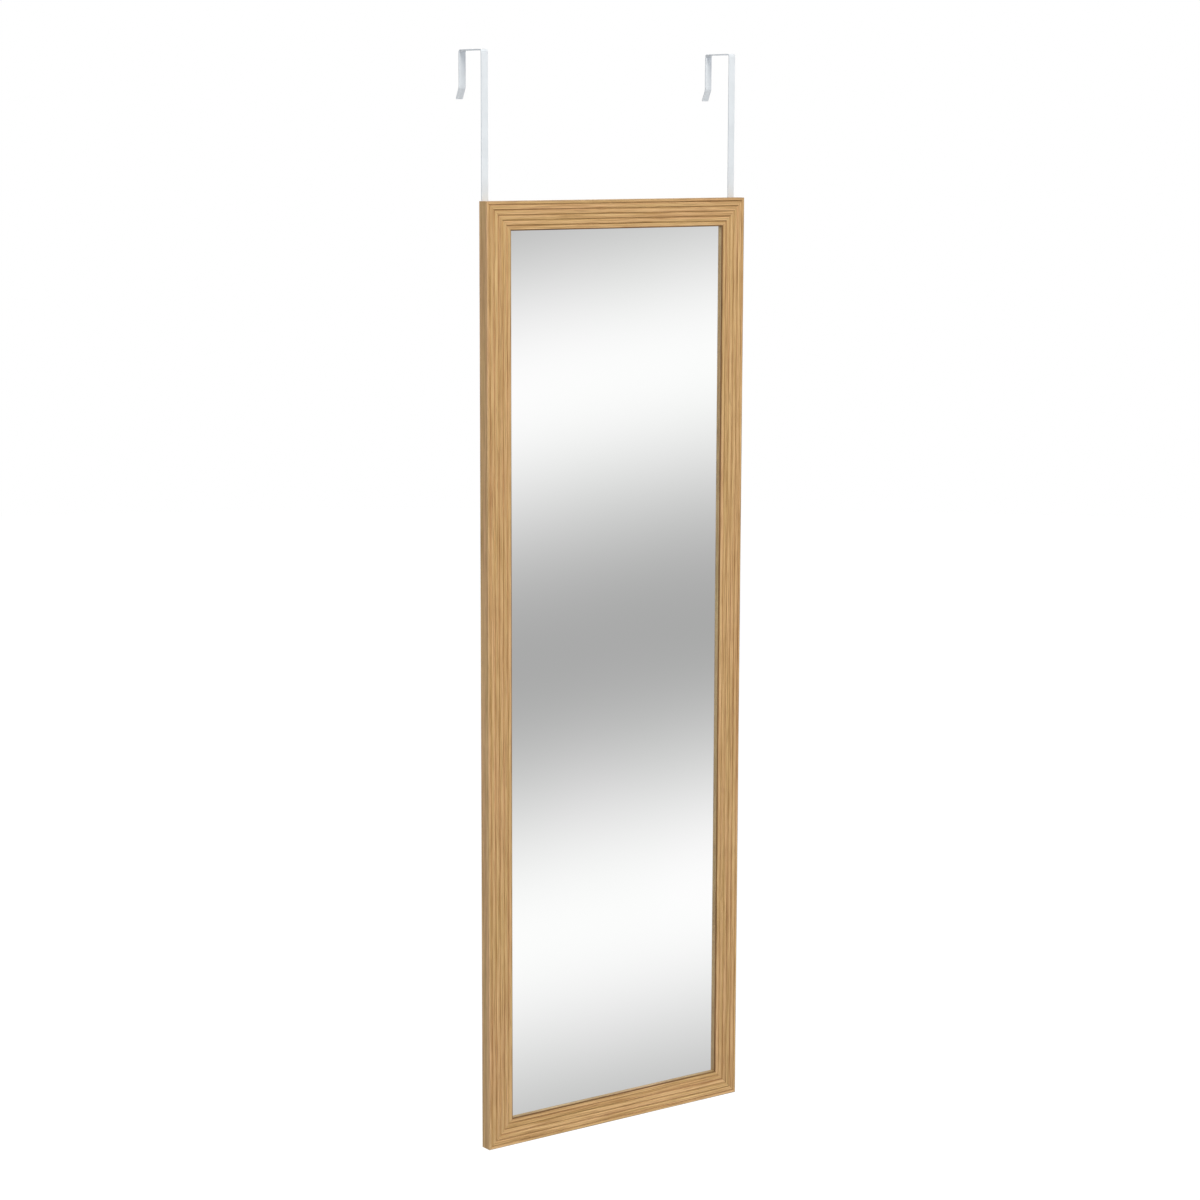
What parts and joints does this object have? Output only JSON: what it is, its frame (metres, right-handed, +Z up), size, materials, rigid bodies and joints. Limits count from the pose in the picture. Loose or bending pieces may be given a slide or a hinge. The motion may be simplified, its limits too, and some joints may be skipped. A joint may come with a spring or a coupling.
{
  "type": "over the door mirror",
  "caption": "Narrow portrait mirror in a grooved oak-effect frame, with two white flat strip hooks that go over the top edge of a door.",
  "frame": {"origin": "on the top edge of the door, midway between the hooks and midway through the door", "axes": "+Z up, +X to the right seen from the front, +Y from the mirror's face through the door"},
  "size_m": [0.305, 0.0564, 1.0542],
  "materials": {
    "oak_foil": "oak-effect foil on MDF, satin",
    "wedge_steel": "plain strip steel",
    "mirror_glass": "silvered float glass",
    "packing_card": "corrugated, brown kraft",
    "hardboard": "pressed hardboard, textured back",
    "zinc_button": "pressed steel, zinc plated",
    "zinc_screw": "zinc plated",
    "white_paint": "white powder coat, satin",
    "rubber": "grey thermoplastic rubber, moulded matt"
  },
  "bodies": {
    "frame": {"stile_left": "oak_foil", "stile_right": "oak_foil", "rail_top": "oak_foil", "rail_bottom": "oak_foil", "corner_wedges": "wedge_steel", "mirror_glass": "mirror_glass", "packing_card": "packing_card", "backing_board": "hardboard", "button_screws": "zinc_screw", "hook_left": "white_paint", "hook_right": "white_paint", "hook_screws": "zinc_screw", "door_pad_left": "rubber", "door_pad_right": "rubber"},
    "button_1": {"turn_button_1": "zinc_button"},
    "button_2": {"turn_button_2": "zinc_button"},
    "button_3": {"turn_button_3": "zinc_button"},
    "button_4": {"turn_button_4": "zinc_button"},
    "button_5": {"turn_button_5": "zinc_button"},
    "button_6": {"turn_button_6": "zinc_button"},
    "button_7": {"turn_button_7": "zinc_button"},
    "button_8": {"turn_button_8": "zinc_button"}
  },
  "joints": [
    {"name": "button_1_turn", "type": "hinge", "parent": "frame", "child": "button_1", "pos_m": [-0.14, -0.0186, -0.288], "axis": [0, 1, 0], "continuous": true},
    {"name": "button_2_turn", "type": "hinge", "parent": "frame", "child": "button_2", "pos_m": [-0.14, -0.0186, -0.5955], "axis": [0, 1, 0], "continuous": true},
    {"name": "button_3_turn", "type": "hinge", "parent": "frame", "child": "button_3", "pos_m": [-0.14, -0.0186, -0.903], "axis": [0, 1, 0], "continuous": true},
    {"name": "button_4_turn", "type": "hinge", "parent": "frame", "child": "button_4", "pos_m": [0.14, -0.0186, -0.288], "axis": [0, 1, 0], "continuous": true},
    {"name": "button_5_turn", "type": "hinge", "parent": "frame", "child": "button_5", "pos_m": [0.14, -0.0186, -0.5955], "axis": [0, 1, 0], "continuous": true},
    {"name": "button_6_turn", "type": "hinge", "parent": "frame", "child": "button_6", "pos_m": [0.14, -0.0186, -0.903], "axis": [0, 1, 0], "continuous": true},
    {"name": "button_7_turn", "type": "hinge", "parent": "frame", "child": "button_7", "pos_m": [0, -0.0186, -0.1505], "axis": [0, 1, 0], "continuous": true},
    {"name": "button_8_turn", "type": "hinge", "parent": "frame", "child": "button_8", "pos_m": [0, -0.0186, -1.0405], "axis": [0, 1, 0], "continuous": true}
  ]
}
